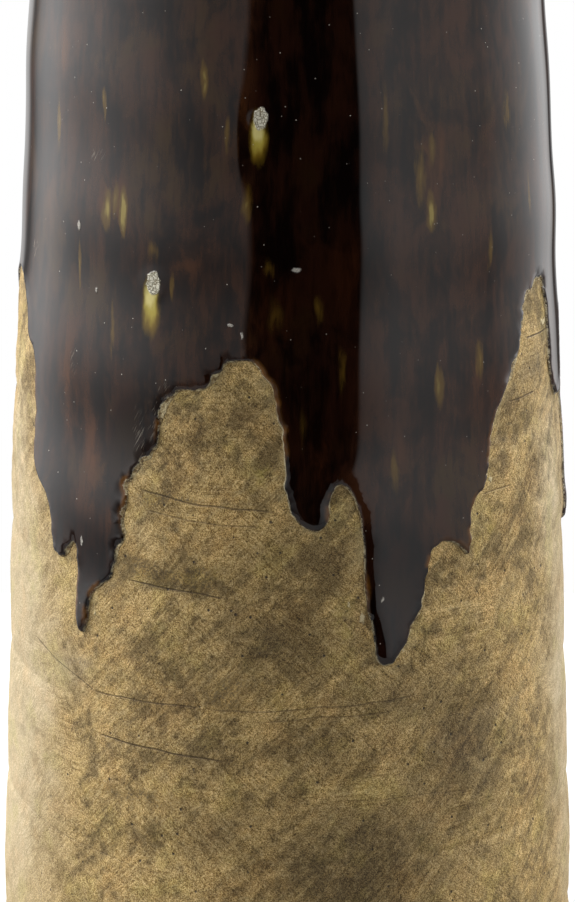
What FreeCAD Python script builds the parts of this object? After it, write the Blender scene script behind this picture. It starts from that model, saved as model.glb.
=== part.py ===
"""Coil-built stoneware bottle vase with a dark glaze that has run down over the bare clay.

The frame is in millimetres, +Z up, with the origin on the floor at the centre of the foot.
The vase is laid up from a base slab, seven coil courses, a shoulder course, a neck collar and a
lip collar. Each piece is seated on the edge of the one below it. One coat of glaze covers the
outside down to a ragged line of runs, and a thinner coat lines the inside.
"""

import FreeCAD, Part
import math
import os
import Sketcher

# Driving dimensions: millimetres, apart from the angles, which are in degrees.
SIZES = {
    "wall_base_radius": 117.4,   # radius that the wall's line has at the floor
    "wall_taper": 0.0352,        # loss of radius per mm of height, at the floor
    "wall_curve": 0.000032,      # further loss of radius per mm of height squared
    "wall_thickness": 9.5,
    "first_seam": 21.0,          # height of the seam between the base slab and course 1
    "course_height": 53.0,
    "seam_depth": 0.6,           # how far a seam lies inside the wall's line
    "seam_bevel": 4.0,           # how much higher a seam is on the inside than on the outside
    "course_bulge": 0.8,         # rise of each course's arc between its two seams
    "foot_radius": 118.0,
    "foot_edge_height": 5.0,     # height of the rounding under the foot
    "foot_edge_inset": 3.0,
    "foot_ring_width": 22.0,
    "foot_recess": 2.5,
    "floor_height": 14.0,        # height of the inside floor
    "shoulder_radius": 76.0,
    "shoulder_angle": 50.0,      # where the shoulder turns into the neck
    "neck_radius": 58.0,
    "waist_angle": 185.0,        # where the neck collar meets the lip collar
    "lip_angle": 140.0,          # where the neck's hollow curve ends at the lip
    "glaze_thickness": 1.2,
    "liner_thickness": 0.8,
}
COURSES = 7
GLAZE_SEAM = 1                   # the glaze coat starts at this seam, below its longest run
LIP_ARC = 1.999999               # wall thickness over the lip's radius: a hair short of half a circle
FENCE_INNER = 60.0               # radii between which the glaze line's fence is ruled
FENCE_OUTER = 160.0
SHEET = "Sizes"

# The ragged lower line of the glaze: (angle from the front towards +X in degrees, height in mm).
# They are the control points of a closed quadratic spline, so each run is its tip and its flanks.
GLAZE_LINE = [
    (-84, 281), (-79, 285), (-73, 281), (-68.6, 271), (-68.2, 260), (-64, 257), (-62.9, 247),
    (-63.2, 216), (-60.5, 208), (-56.6, 204), (-54.8, 197), (-54, 182), (-51.5, 180), (-48.6, 184),
    (-47, 190), (-46.4, 184), (-46.4, 164), (-46, 156), (-43.6, 153.5), (-42.6, 157),
    (-42.3, 168), (-40, 175), (-36.2, 178), (-35.4, 190), (-33.7, 197), (-33.5, 213), (-30, 222),
    (-26, 233), (-25.2, 244), (-22, 253), (-15.8, 254), (-12, 263), (-8, 266.5), (-4.4, 261),
    (-1.4, 247), (-0.9, 222), (0.2, 209), (3.6, 202), (7.2, 202.5), (8.2, 208), (8.4, 216),
    (10.2, 220), (12.8, 215), (14.6, 201), (14.8, 177), (16.3, 163), (17, 150), (20.2, 149.5),
    (23.3, 154), (25, 165), (27, 169), (28.2, 187), (30.2, 194), (34.8, 194), (37.7, 186),
    (38.5, 192), (38.7, 208), (44.2, 214), (46, 236), (50.5, 246), (56.3, 264), (57.2, 275),
    (61.8, 281), (67, 283.5), (68.4, 274), (68.7, 252), (71.5, 239), (76, 233), (80, 240),
    (82, 262), (85, 268), (87.2, 250), (87.6, 215), (88.2, 190), (90, 177), (92.5, 178),
    (94.5, 192), (95.3, 222), (97, 250), (99.5, 268), (101.5, 262), (102, 236), (104, 214),
    (107, 209), (110, 220), (111, 246), (117, 262), (124, 268), (129, 253), (131, 206),
    (134, 172), (138, 166), (141, 176), (142, 198), (147, 212), (149, 236), (156, 259),
    (163, 263), (168, 248), (169, 226), (173, 219), (177, 228), (178, 250), (185, 271),
    (192, 274), (198, 258), (199, 214), (201, 181), (203, 146), (207, 141), (210, 150),
    (212, 178), (217, 189), (219, 215), (226, 232), (228, 252), (236, 262), (243, 256),
    (245, 232), (247, 205), (251, 199), (254, 209), (255, 238), (262, 256), (268, 274),
]


def make_sheet(doc):
    """The spreadsheet that holds the driving dimensions, one alias for each."""
    sheet = doc.addObject("Spreadsheet::Sheet", SHEET)
    for row, (alias, size) in enumerate(SIZES.items(), start=1):
        sheet.set(f"A{row}", alias)
        sheet.set(f"B{row}", str(size))
        sheet.setAlias(f"B{row}", alias)
    doc.recompute()
    return sheet


def cell(alias):
    """An expression that reads one driving dimension."""
    return f"{SHEET}.{alias}"


def plus(a, b):
    """The expression of a point moved by another, both (radius, height) pairs."""
    return f"({a[0]}) + ({b[0]})", f"({a[1]}) + ({b[1]})"


def polar(centre, radius, angle):
    """The point at an angle on a circle, as a pair of expressions."""
    return plus(centre, (f"({radius}) * cos({angle})", f"({radius}) * sin({angle})"))


def number(sheet, expression):
    """What an expression is worth at the present dimensions."""
    found = sheet.evalExpression(expression)
    return float(getattr(found, "Value", found))


# Points of the profile. Each is a (radius, height) pair of expressions on the sheet's cells.

def seam_height(seam):
    """Height of a seam on the outside; seam 0 is the one on the base slab."""
    return f"({cell('first_seam')} + {seam} * {cell('course_height')})"


def seam_outside(seam):
    z = seam_height(seam)
    line = f"{cell('wall_base_radius')} - {cell('wall_taper')} * {z} - {cell('wall_curve')} * {z}^2"
    return f"({line} - {cell('seam_depth')})", z


def seam_inside(seam):
    return plus(seam_outside(seam), (f"-{cell('wall_thickness')}", cell("seam_bevel")))


def course_arc(seam):
    """Radius of the outside arc of the course above a seam, from its chord and its bulge."""
    (x0, z0), (x1, z1) = seam_outside(seam), seam_outside(seam + 1)
    bulge = cell("course_bulge")
    return f"(({x1} - {x0})^2 + ({z1} - {z0})^2) / (8 * {bulge}) + {bulge} / 2"


def wall_lean():
    """How far the wall leans inwards where the shoulder begins, in degrees."""
    slope = f"{cell('wall_taper')} + 2 * {cell('wall_curve')} * {seam_height(COURSES)}"
    return f"atan({slope})"


def shoulder_centre():
    return polar(seam_outside(COURSES), f"-{cell('shoulder_radius')}", wall_lean())


def neck_centre():
    reach = f"{cell('shoulder_radius')} + {cell('neck_radius')}"
    return polar(shoulder_centre(), reach, cell("shoulder_angle"))


def neck_point(angle, depth):
    """A point of the neck, so deep inside its outer face, at an angle about the hollow's centre."""
    return polar(neck_centre(), f"{cell('neck_radius')} + ({depth})", angle)


def neck_seam(depth):
    """A point of the seam between the shoulder and the neck."""
    return neck_point(f"180 + {cell('shoulder_angle')}", depth)


def lip_end(depth):
    """A point of the line across the wall where the lip's rounding begins."""
    return neck_point(cell("lip_angle"), depth)


# Sketches and solids.

def arc_between(start, end, radius, side):
    """An arc of a radius between two points, which bulges to the right or left of its way."""
    chord = end - start
    across = FreeCAD.Vector(chord.y, -chord.x, 0).normalize() * (1 if side == "right" else -1)
    rise = radius - math.sqrt(radius**2 - (chord.Length / 2) ** 2)
    return Part.Arc(start, (start + end) / 2 + across * rise, end)


def add_profile(sheet, sketch, corners):
    """Draws a closed profile and ties each corner and each arc's radius to the sheet.

    A corner is ((radius, height), arc), where arc shapes the edge that leads to the next
    corner: None for a straight edge, or (radius, side) for an arc that bulges to that side.
    """
    places = [FreeCAD.Vector(number(sheet, x), number(sheet, z), 0) for (x, z), _ in corners]
    edges = []
    for i, (_, arc) in enumerate(corners):
        start, end = places[i], places[(i + 1) % len(places)]
        if arc is None:
            edge = Part.LineSegment(start, end)
        else:
            edge = arc_between(start, end, number(sheet, arc[0]), arc[1])
        edges.append(sketch.addGeometry(edge))
    ends = [end_points(sketch, edges[i], places[i]) for i in range(len(edges))]
    for i, edge in enumerate(edges):
        before = edges[i - 1]
        sketch.addConstraint(
            Sketcher.Constraint("Coincident", before, ends[i - 1][1], edge, ends[i][0])
        )
    for i, ((x, z), arc) in enumerate(corners):
        bind(sketch, "DistanceX", (-1, 1, edges[i], ends[i][0], places[i].x), x)
        bind(sketch, "DistanceY", (-1, 1, edges[i], ends[i][0], places[i].y), z)
        if arc is not None:
            bind(sketch, "Radius", (edges[i], number(sheet, arc[0])), arc[0])


def end_points(sketch, edge, start):
    """The sketcher's numbers of an edge's first and second end, going round the profile."""
    first = sketch.getPoint(edge, 1)
    return (1, 2) if (first - start).Length < 1e-6 else (2, 1)


def bind(sketch, kind, places, expression):
    index = sketch.addConstraint(Sketcher.Constraint(kind, *places))
    sketch.setExpression(f"Constraints[{index}]", expression)


def turned_body(doc, sheet, label, corners):
    """A body turned about Z from a closed profile in the XZ plane."""
    body = doc.addObject("PartDesign::Body", label)
    body.Label = label
    sketch = body.newObject("Sketcher::SketchObject", f"{label}_profile")
    plane = next(f for f in body.Origin.OriginFeatures if f.Role == "XZ_Plane")
    sketch.AttachmentSupport = (plane, [""])
    sketch.MapMode = "FlatFace"
    add_profile(sheet, sketch, corners)
    turn = body.newObject("PartDesign::Revolution", f"{label}_turn")
    turn.Profile = sketch
    turn.ReferenceAxis = (sketch, ["V_Axis"])
    turn.Angle = 360
    sketch.Visibility = False
    return body


def base_slab(doc, sheet):
    """The slab that the vase stands on: its edge is drawn up, and it is hollowed underneath."""
    foot, edge, recess = cell("foot_radius"), cell("foot_edge_height"), cell("foot_recess")
    ring = f"{foot} - {cell('foot_edge_inset')} - {cell('foot_ring_width')}"
    rounding = f"({edge}^2 + {cell('foot_edge_inset')}^2) / (2 * {cell('foot_edge_inset')})"
    inside = seam_inside(0)
    corners = [
        (("0", recess), None),
        ((f"{ring} - {recess}", recess), None),
        ((ring, "0"), None),
        ((f"{foot} - {cell('foot_edge_inset')}", "0"), (rounding, "right")),
        ((foot, edge), None),
        (seam_outside(0), None),
        (inside, None),
        ((inside[0], cell("floor_height")), None),
        (("0", cell("floor_height")), None),
    ]
    return turned_body(doc, sheet, "base_slab", corners)


def coil_course(doc, sheet, seam):
    """One course of the wall, from this seam to the next, rounded out between them."""
    corners = [
        (seam_outside(seam), (course_arc(seam), "right")),
        (seam_outside(seam + 1), None),
        (seam_inside(seam + 1), None),
        (seam_inside(seam), None),
    ]
    return turned_body(doc, sheet, f"coil_course_{seam + 1}", corners)


def shoulder_course(doc, sheet):
    wall = cell("wall_thickness")
    corners = [
        (seam_outside(COURSES), (cell("shoulder_radius"), "right")),
        (neck_seam("0"), None),
        (neck_seam(wall), (f"{cell('shoulder_radius')} - {wall}", "left")),
        (seam_inside(COURSES), None),
    ]
    return turned_body(doc, sheet, "shoulder_course", corners)


def neck_collar(doc, sheet):
    """The lower collar of the neck, from the shoulder to the waist."""
    wall, waist = cell("wall_thickness"), cell("waist_angle")
    corners = [
        (neck_seam("0"), (cell("neck_radius"), "left")),
        (neck_point(waist, "0"), None),
        (neck_point(waist, wall), (f"{cell('neck_radius')} + {wall}", "right")),
        (neck_seam(wall), None),
    ]
    return turned_body(doc, sheet, "neck_collar", corners)


def lip_collar(doc, sheet):
    """The upper collar of the neck, from the waist to the flared and rounded lip."""
    wall, waist = cell("wall_thickness"), cell("waist_angle")
    corners = [
        (neck_point(waist, "0"), (cell("neck_radius"), "left")),
        (lip_end("0"), (f"{wall} / {LIP_ARC}", "right")),
        (lip_end(wall), (f"{cell('neck_radius')} + {wall}", "right")),
        (neck_point(waist, wall), None),
    ]
    return turned_body(doc, sheet, "lip_collar", corners)


def inner_glaze(doc, sheet):
    """The thin coat that lines the vase, from the lip's inner edge down over the floor."""
    wall, liner = cell("wall_thickness"), cell("liner_thickness")
    both = f"{wall} + {liner}"
    inward = (f"-{liner}", "0")
    floor = cell("floor_height")
    clay = [((seam_inside(0)[0], floor), None)]
    clay += [(seam_inside(seam), None) for seam in range(COURSES)]
    clay += [
        (seam_inside(COURSES), (f"{cell('shoulder_radius')} - {wall}", "right")),
        (neck_seam(wall), (f"{cell('neck_radius')} + {wall}", "left")),
        (lip_end(wall), None),
    ]
    face = [
        (lip_end(both), (f"{cell('neck_radius')} + {both}", "right")),
        (neck_seam(both), (f"{cell('shoulder_radius')} - ({both})", "left")),
    ]
    face += [(plus(seam_inside(seam), inward), None) for seam in range(COURSES, -1, -1)]
    face += [((f"{seam_inside(0)[0]} - {liner}", f"{floor} + {liner}"), None)]
    face += [(("0", f"{floor} + {liner}"), None), (("0", floor), None)]
    return turned_body(doc, sheet, "inner_glaze", clay + face)


def glaze_coat(doc, sheet):
    """The outside coat before its lower line is cut: it goes over the lip to the liner."""
    wall, glaze = cell("wall_thickness"), cell("glaze_thickness")
    outward = (f"{glaze} * cos({wall_lean()})", f"{glaze} * sin({wall_lean()})")
    up = range(GLAZE_SEAM, COURSES)
    clay = [(seam_outside(seam), (course_arc(seam), "right")) for seam in up]
    clay += [
        (seam_outside(COURSES), (cell("shoulder_radius"), "right")),
        (neck_seam("0"), (cell("neck_radius"), "left")),
        (lip_end("0"), (f"{wall} / {LIP_ARC}", "right")),
        (lip_end(wall), None),
    ]
    face = [
        (lip_end(f"{wall} + {glaze}"), (f"{wall} / {LIP_ARC} + {glaze}", "left")),
        (lip_end(f"-{glaze}"), (f"{cell('neck_radius')} - {glaze}", "right")),
        (neck_seam(f"-{glaze}"), (f"{cell('shoulder_radius')} + {glaze}", "left")),
    ]
    for seam in range(COURSES, GLAZE_SEAM, -1):
        face.append((plus(seam_outside(seam), outward), (course_arc(seam - 1), "left")))
    face.append((plus(seam_outside(GLAZE_SEAM), outward), None))
    return turned_body(doc, sheet, "glaze_coat", clay + face)


def glaze_line_curve(radius):
    """The glaze's lower line, thrown outwards on to a cylinder of this radius."""
    poles = []
    for angle, height in GLAZE_LINE:
        turn = math.radians(angle)
        poles.append(FreeCAD.Vector(radius * math.sin(turn), -radius * math.cos(turn), height))
    curve = Part.BSplineCurve()
    knots = list(range(len(poles) + 1))
    curve.buildFromPolesMultsKnots(poles, [1] * len(knots), knots, True, 2)
    return curve.toShape()


def outer_glaze(doc, sheet):
    """The outside coat, cut away below its ragged line of runs."""
    coat = glaze_coat(doc, sheet)
    rims = []
    for name, radius in (("line_inside", FENCE_INNER), ("line_outside", FENCE_OUTER)):
        rim = doc.addObject("Part::Feature", name)
        rim.Shape = glaze_line_curve(radius)
        rims.append(rim)
    fence = doc.addObject("Part::RuledSurface", "glaze_fence")
    fence.Curve1 = (rims[0], ["Edge1"])
    fence.Curve2 = (rims[1], ["Edge1"])
    below = doc.addObject("Part::Extrusion", "below_the_line")
    below.Base = fence
    below.Dir = FreeCAD.Vector(0, 0, -1)
    below.DirMode = "Custom"
    below.LengthFwd = max(height for _, height in GLAZE_LINE)
    below.Solid = True
    cut = doc.addObject("Part::Cut", "outer_glaze")
    cut.Label = "outer_glaze"
    cut.Base = coat
    cut.Tool = below
    return cut


def check(doc, parts):
    """Stops if any object of the document failed, or any part isn't one good solid."""
    for item in doc.Objects:
        if {"Invalid", "Error"} & set(item.State):
            raise RuntimeError(f"{item.Label} failed: {item.State}")
    for part in parts:
        shape = part.Shape
        if shape.isNull() or not shape.isValid() or len(shape.Solids) != 1:
            raise RuntimeError(f"{part.Label} isn't one valid solid")


def main():
    doc = FreeCAD.newDocument("stoneware_vase")
    sheet = make_sheet(doc)
    parts = [base_slab(doc, sheet)]
    parts += [coil_course(doc, sheet, seam) for seam in range(COURSES)]
    parts += [shoulder_course(doc, sheet), neck_collar(doc, sheet), lip_collar(doc, sheet)]
    parts += [outer_glaze(doc, sheet), inner_glaze(doc, sheet)]
    doc.recompute()
    check(doc, parts)
    os.makedirs("parts", exist_ok=True)
    for part in parts:
        part.Shape.exportStep(f"parts/{part.Label}.step")
        print(f"{part.Label}: {part.Shape.Volume / 1000:.1f} cm3")


main()
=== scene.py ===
import math

import bpy
import numpy as np
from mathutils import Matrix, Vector
from mathutils.geometry import delaunay_2d_cdt
from mathutils.kdtree import KDTree


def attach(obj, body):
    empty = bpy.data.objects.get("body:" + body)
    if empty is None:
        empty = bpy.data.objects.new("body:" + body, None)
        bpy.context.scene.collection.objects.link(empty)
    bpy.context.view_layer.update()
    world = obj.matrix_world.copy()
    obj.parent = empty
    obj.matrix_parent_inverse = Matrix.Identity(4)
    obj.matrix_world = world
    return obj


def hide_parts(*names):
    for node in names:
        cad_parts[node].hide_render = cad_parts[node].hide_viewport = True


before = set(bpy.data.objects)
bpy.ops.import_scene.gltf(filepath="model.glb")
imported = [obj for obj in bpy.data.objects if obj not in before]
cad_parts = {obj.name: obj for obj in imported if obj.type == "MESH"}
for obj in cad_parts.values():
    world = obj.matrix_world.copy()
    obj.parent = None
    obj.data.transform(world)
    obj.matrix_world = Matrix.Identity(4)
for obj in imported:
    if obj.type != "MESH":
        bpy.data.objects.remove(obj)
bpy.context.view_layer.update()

# Shapes are worked out in millimetres and degrees, and turned into metres when a mesh is made.
# A place on the vase is its angle, from the front (-Y) towards +X, and its height up the vase's
# line, which is the plain height as far as the shoulder and then goes on round it to the lip.
MM = 0.001

# The vase's line, with the sizes that part.py has.
WALL_BASE_RADIUS = 117.4
WALL_TAPER = 0.0352
WALL_CURVE = 0.000032
WALL_THICKNESS = 9.5
COURSE_HEIGHT = 53.0
FIRST_SEAM = 21.0
COURSES = 7
SEAM_DEPTH = 0.6
SEAM_BEVEL = 4.0
COURSE_BULGE = 0.8
SHOULDER_RADIUS = 76.0
SHOULDER_ANGLE = 50.0
NECK_RADIUS = 58.0
WAIST_ANGLE = 185.0
LIP_ANGLE = 140.0
FOOT_RADIUS = 118.0
FOOT_EDGE_HEIGHT = 5.0
FOOT_EDGE_INSET = 3.0
FOOT_RING_WIDTH = 22.0
FOOT_RECESS = 2.5
FLOOR_HEIGHT = 14.0
LINER_THICKNESS = 0.8

# The glaze's lower line: the control points of a closed quadratic spline.
GLAZE_LINE = [
    (-84, 281), (-79, 285), (-73, 281), (-68.6, 271), (-68.2, 260), (-64, 257), (-62.9, 247),
    (-63.2, 216), (-60.5, 208), (-56.6, 204), (-54.8, 197), (-54, 182), (-51.5, 180), (-48.6, 184),
    (-47, 190), (-46.4, 184), (-46.4, 164), (-46, 156), (-43.6, 153.5), (-42.6, 157),
    (-42.3, 168), (-40, 175), (-36.2, 178), (-35.4, 190), (-33.7, 197), (-33.5, 213), (-30, 222),
    (-26, 233), (-25.2, 244), (-22, 253), (-15.8, 254), (-12, 263), (-8, 266.5), (-4.4, 261),
    (-1.4, 247), (-0.9, 222), (0.2, 209), (3.6, 202), (7.2, 202.5), (8.2, 208), (8.4, 216),
    (10.2, 220), (12.8, 215), (14.6, 201), (14.8, 177), (16.3, 163), (17, 150), (20.2, 149.5),
    (23.3, 154), (25, 165), (27, 169), (28.2, 187), (30.2, 194), (34.8, 194), (37.7, 186),
    (38.5, 192), (38.7, 208), (44.2, 214), (46, 236), (50.5, 246), (56.3, 264), (57.2, 275),
    (61.8, 281), (67, 283.5), (68.4, 274), (68.7, 252), (71.5, 239), (76, 233), (80, 240),
    (82, 262), (85, 268), (87.2, 250), (87.6, 215), (88.2, 190), (90, 177), (92.5, 178),
    (94.5, 192), (95.3, 222), (97, 250), (99.5, 268), (101.5, 262), (102, 236), (104, 214),
    (107, 209), (110, 220), (111, 246), (117, 262), (124, 268), (129, 253), (131, 206),
    (134, 172), (138, 166), (141, 176), (142, 198), (147, 212), (149, 236), (156, 259),
    (163, 263), (168, 248), (169, 226), (173, 219), (177, 228), (178, 250), (185, 271),
    (192, 274), (198, 258), (199, 214), (201, 181), (203, 146), (207, 141), (210, 150),
    (212, 178), (217, 189), (219, 215), (226, 232), (228, 252), (236, 262), (243, 256),
    (245, 232), (247, 205), (251, 199), (254, 209), (255, 238), (262, 256), (268, 274),
]

# How each seam wanders as the rings aren't quite level: (drop, tilt, angle that it tips down to).
SEAM_WANDER = [
    (0, 0.4, 30), (0, 1.0, 20), (0, 1.6, 70), (-1, 2.2, 35), (-1, 3.0, 50), (0, 3.9, 40),
    (-4, 5.8, 59), (-2, 4.0, 50),
]

SEAM_NOTCH = 0.55                # depth of the notch at a seam of the clay
SEAM_NOTCH_WIDTH = 2.2
SHOULDER_EASE = 45.0             # height over which the unevenness fades out above the wall
SHARP = math.radians(50)
CLAY_SPACING = 0.85              # mesh spacing of the bare clay
HIDDEN_SPACING = 2.8             # mesh spacing of what the glaze covers
BARE_COURSES = 5
HALO_WIDTH = 2.6                 # reach of the flashing on the clay beside the glaze

# The glaze. Its lower part is made as a flat sheet and then wrapped round the vase.
PER_DEGREE = 105.0 * math.pi / 180   # width of a degree of the flat sheet
SHEET_TOP = 300.0                # height above which the coat is a plain grid
SHEET_SPACING = 2.2
EDGE_SPACING = 0.6
EDGE_DEPTHS = (0.22, 0.5, 0.9, 1.4, 2.0, 2.8, 3.8)
SEAM_ROWS = 10
UPPER_COLUMNS = 480
BACK_SPACING = 8.0               # mesh spacing of the coat's hidden face
BACK_DEPTH = 0.5                 # how far the hidden face lies inside the clay
COAT = 0.85                      # thickness of the coat away from its edge
ROLL = 0.45                      # extra thickness towards the edge
TIP_ROLL = 0.7                   # extra thickness at the foot of each run
EDGE_WIDTH = 1.3                 # width of the rolled edge
SINK = 0.12                      # the edge's line lies this far inside the clay
CRUST_WIDTH = 1.7                # greatest width of the dry crust outside the rolled edge
CRUST_THICKNESS = 0.14
FAT_RISE = 0.1                   # rise of the fattest runs, over their edge's extra width
DEEP = 20.0                      # distance from the edge past which the glaze is all alike

# Where the runs are fattest: (angle, height, half width, half height, extra width of rolled edge).
FAT_RUNS = [
    (2, 208, 13, 22, 3.0), (8.5, 209, 8, 14, 6.5), (14, 190, 7, 30, 5.0), (17.5, 160, 7, 16, 4.6),
    (-44, 160, 6, 10, 0.8), (-20, 256, 16, 8, 1.6), (-2, 240, 8, 24, 1.4), (90, 182, 10, 12, 1.5),
    (137, 185, 12, 30, 2.5), (205, 165, 12, 34, 2.8), (250, 210, 12, 24, 2.0),
]

# Blisters that burst in the glaze: (angle, height, radius).
BURSTS = [(-5.3, 352.3, 2.9), (-27.6, 291.0, 3.4), (128.0, 330.0, 2.7), (222.0, 301.0, 2.4)]
BURST_RISE = 0.3

# Broad lumps and hollows of the wall: (angle, height, half width, half height, rise).
LUMPS = [
    (90.5, 185, 7, 8, 1.0), (86, 258, 30, 18, -0.5), (-88, 286, 30, 9, -0.2), (-88, 340, 30, 11, 0.2),
    (-86, 258, 30, 10, -0.7), (-88, 84, 40, 20, 0.2), (-86, 124, 40, 10, 0.1), (-10.6, 345, 5, 14, 0.6),
]
# The wall's middle leans a little to the right: the height, the reach and how far.
LEAN_HEIGHT = 312.0
LEAN_REACH = 34.0
LEAN = 0.65


# ---- The vase's line and its unevenness

def wall_radius(height):
    return WALL_BASE_RADIUS - WALL_TAPER * height - WALL_CURVE * height**2


def direction(degrees):
    turn = np.radians(degrees)
    return np.stack([np.cos(turn), np.sin(turn)], -1)


WALL_TOP = FIRST_SEAM + COURSES * COURSE_HEIGHT
WALL_LEAN = math.degrees(math.atan(WALL_TAPER + 2 * WALL_CURVE * WALL_TOP))
SHOULDER_CENTRE = (
    np.array([wall_radius(WALL_TOP) - SEAM_DEPTH, WALL_TOP]) - SHOULDER_RADIUS * direction(WALL_LEAN)
)
NECK_CENTRE = SHOULDER_CENTRE + (SHOULDER_RADIUS + NECK_RADIUS) * direction(SHOULDER_ANGLE)
LIP_RADIUS = WALL_THICKNESS / 2
LIP_CENTRE = NECK_CENTRE + (NECK_RADIUS + LIP_RADIUS) * direction(LIP_ANGLE)
SHOULDER_TOP = WALL_TOP + SHOULDER_RADIUS * math.radians(SHOULDER_ANGLE - WALL_LEAN)
WAIST = SHOULDER_TOP + NECK_RADIUS * math.radians(180 + SHOULDER_ANGLE - WAIST_ANGLE)
NECK_TOP = SHOULDER_TOP + NECK_RADIUS * math.radians(180 + SHOULDER_ANGLE - LIP_ANGLE)
LIP_END = NECK_TOP + LIP_RADIUS * math.pi


def outline(up):
    """The points (radius, height) of the vase's line at places up it, and the normals there."""
    up = np.asarray(up, float)[..., None]
    slope = WALL_TAPER + 2 * WALL_CURVE * up[..., 0]
    normal = np.stack([np.ones_like(slope), slope], -1) / np.hypot(1, slope)[..., None]
    point = np.concatenate([wall_radius(up) - SEAM_DEPTH, up], -1)
    stretches = [
        (WALL_TOP, SHOULDER_CENTRE, SHOULDER_RADIUS, WALL_LEAN, 1),
        (SHOULDER_TOP, NECK_CENTRE, NECK_RADIUS, 180 + SHOULDER_ANGLE, -1),
        (NECK_TOP, LIP_CENTRE, LIP_RADIUS, LIP_ANGLE - 180, 1),
    ]
    for start, centre, radius, angle, way in stretches:
        spoke = direction(angle + way * np.degrees((up[..., 0] - start) / radius))
        point = np.where(up > start, centre + radius * spoke, point)
        normal = np.where(up > start, way * spoke, normal)
    return point, normal


def noise(seed, angle, up, around, pitch):
    """Smooth noise round the vase, about -1 to 1, in so many cells round it, each so many mm high."""
    grid = np.random.default_rng(seed).uniform(-1.7, 1.7, (around, int(LIP_END / pitch) + 8))
    x = np.asarray(angle, float) / 360 * around
    y = np.asarray(up, float) / pitch + 3
    column, row = np.floor(x).astype(int), np.floor(y).astype(int)

    def weights(t):
        return [(1 - t) ** 3 / 6, (3 * t**3 - 6 * t**2 + 4) / 6,
                (-3 * t**3 + 3 * t**2 + 3 * t + 1) / 6, t**3 / 6]

    total = 0.0
    for i, across in enumerate(weights(x - column)):
        for j, upwards in enumerate(weights(y - row)):
            total = total + across * upwards * grid[(column + i - 1) % around, row + j - 1]
    return total


def seam_height(seam, angle):
    """Height of a seam at an angle: seam 0 is the base slab's."""
    drop, tilt, towards = SEAM_WANDER[seam]
    level = FIRST_SEAM + seam * COURSE_HEIGHT + drop - tilt * np.cos(np.radians(angle - towards))
    return level + 1.2 * noise(40 + seam, angle, 0, 9, 50.0)


def course_place(angle, up):
    """The place between the two seams about each point, from 0 to 1, and the nearest seam's distance."""
    seams = np.stack([seam_height(seam, angle) + 0 * up for seam in range(COURSES + 1)])
    course = np.clip((up > seams).sum(0) - 1, 0, COURSES - 1)
    below = np.take_along_axis(seams, course[None], 0)[0]
    above = np.take_along_axis(seams, course[None] + 1, 0)[0]
    return np.clip((up - below) / (above - below), 0, 1), np.abs(up - seams).min(0)


def broad_shape(angle, up):
    """The slow unevenness of the throwing, which glaze and clay share."""
    shape = 0.7 * noise(1, angle, up, 5, 120.0) + 0.45 * noise(2, angle, up, 12, 60.0)
    shape = shape + 0.22 * noise(3, angle, up, 28, 22.0)
    shape = shape + LEAN * np.sin(np.radians(angle)) * np.exp(-(((up - LEAN_HEIGHT) / LEAN_REACH) ** 2))
    for lump_angle, lump_up, wide, high, rise in LUMPS:
        across = ((angle - lump_angle + 180) % 360 - 180) * PER_DEGREE
        shape = shape + rise * np.exp(-((across / wide) ** 2) - ((up - lump_up) / high) ** 2)
    return shape


def clay_shape(angle, up):
    """How far the clay's face stands out of the vase's line, but for its grain."""
    share, away = course_place(angle, up)
    strength = np.clip(0.3 + 1.1 * noise(31, angle, up, 11, 60.0), 0, 1)
    notch = SEAM_NOTCH * strength * np.exp(-((away / SEAM_NOTCH_WIDTH) ** 2))
    return COURSE_BULGE * (1 - (2 * share - 1) ** 2) - notch + broad_shape(angle, up)


def clay_grain(angle, up):
    """The clay's fine unevenness: finger marks, drag lines and grit."""
    marks = 0.16 * noise(4, angle, up, 60, 9.0) + 0.10 * noise(5, angle, up, 90, 3.2)
    drag = 0.06 * noise(6, angle, up, 70, 1.6)
    grit = 0.07 * noise(7, angle, up, 420, 1.7)
    return marks + drag + grit


def glaze_shape(angle, up):
    """The face under the middle of the coat, which fills the seams and lies in soft runs."""
    share, _ = course_place(angle, up)
    swell = COURSE_BULGE * (0.15 + 0.85 * np.sin(np.pi * share) ** 2)
    runs = 0.10 * noise(8, angle, up, 44, 130.0) + 0.05 * noise(9, angle, up, 70, 30.0)
    runs = runs + 0.10 * noise(10, angle, up, 30, 30.0) + 0.025 * noise(11, angle, up, 60, 12.0)
    crater = 0.0
    for burst_angle, burst_up, size in BURSTS:
        across = (angle - burst_angle) * math.radians(wall_radius(burst_up))
        away = np.hypot(across, up - burst_up) / size
        crater = crater + BURST_RISE * (np.exp(-((away - 1) ** 2) * 3) - 0.8 * np.exp(-(away**2) * 3))
    return swell + broad_shape(angle, up) + runs + crater


# ---- Mesh helpers

def place(angle, points):
    """Points in space, in mm, from angles and (radius, height) pairs."""
    turn = np.radians(angle)
    radius = points[..., 0]
    return np.stack([radius * np.sin(turn), -radius * np.cos(turn), points[..., 1]], -1)


def shell_point(angle, up, stand_out):
    """Points in space at places on the vase, so far outside its line."""
    point, normal = outline(up)
    return place(angle, point + normal * np.asarray(stand_out)[..., None])


def add_piece(name, points, faces, material):
    """A smooth-shaded piece, in metres, in the CAD node's place on the vase's one body."""
    mesh = bpy.data.meshes.new(name)
    mesh.from_pydata((np.asarray(points) * MM).tolist(), [], faces)
    mesh.validate()
    mesh.shade_smooth()
    mesh.materials.append(material)
    piece = bpy.data.objects.new(name, mesh)
    bpy.context.scene.collection.objects.link(piece)
    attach(piece, "root")
    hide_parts(name)
    return piece


def set_attribute(piece, name, values):
    layer = piece.data.attributes.new(name, "FLOAT", "POINT")
    layer.data.foreach_set("value", np.asarray(values, np.float32))


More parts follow.
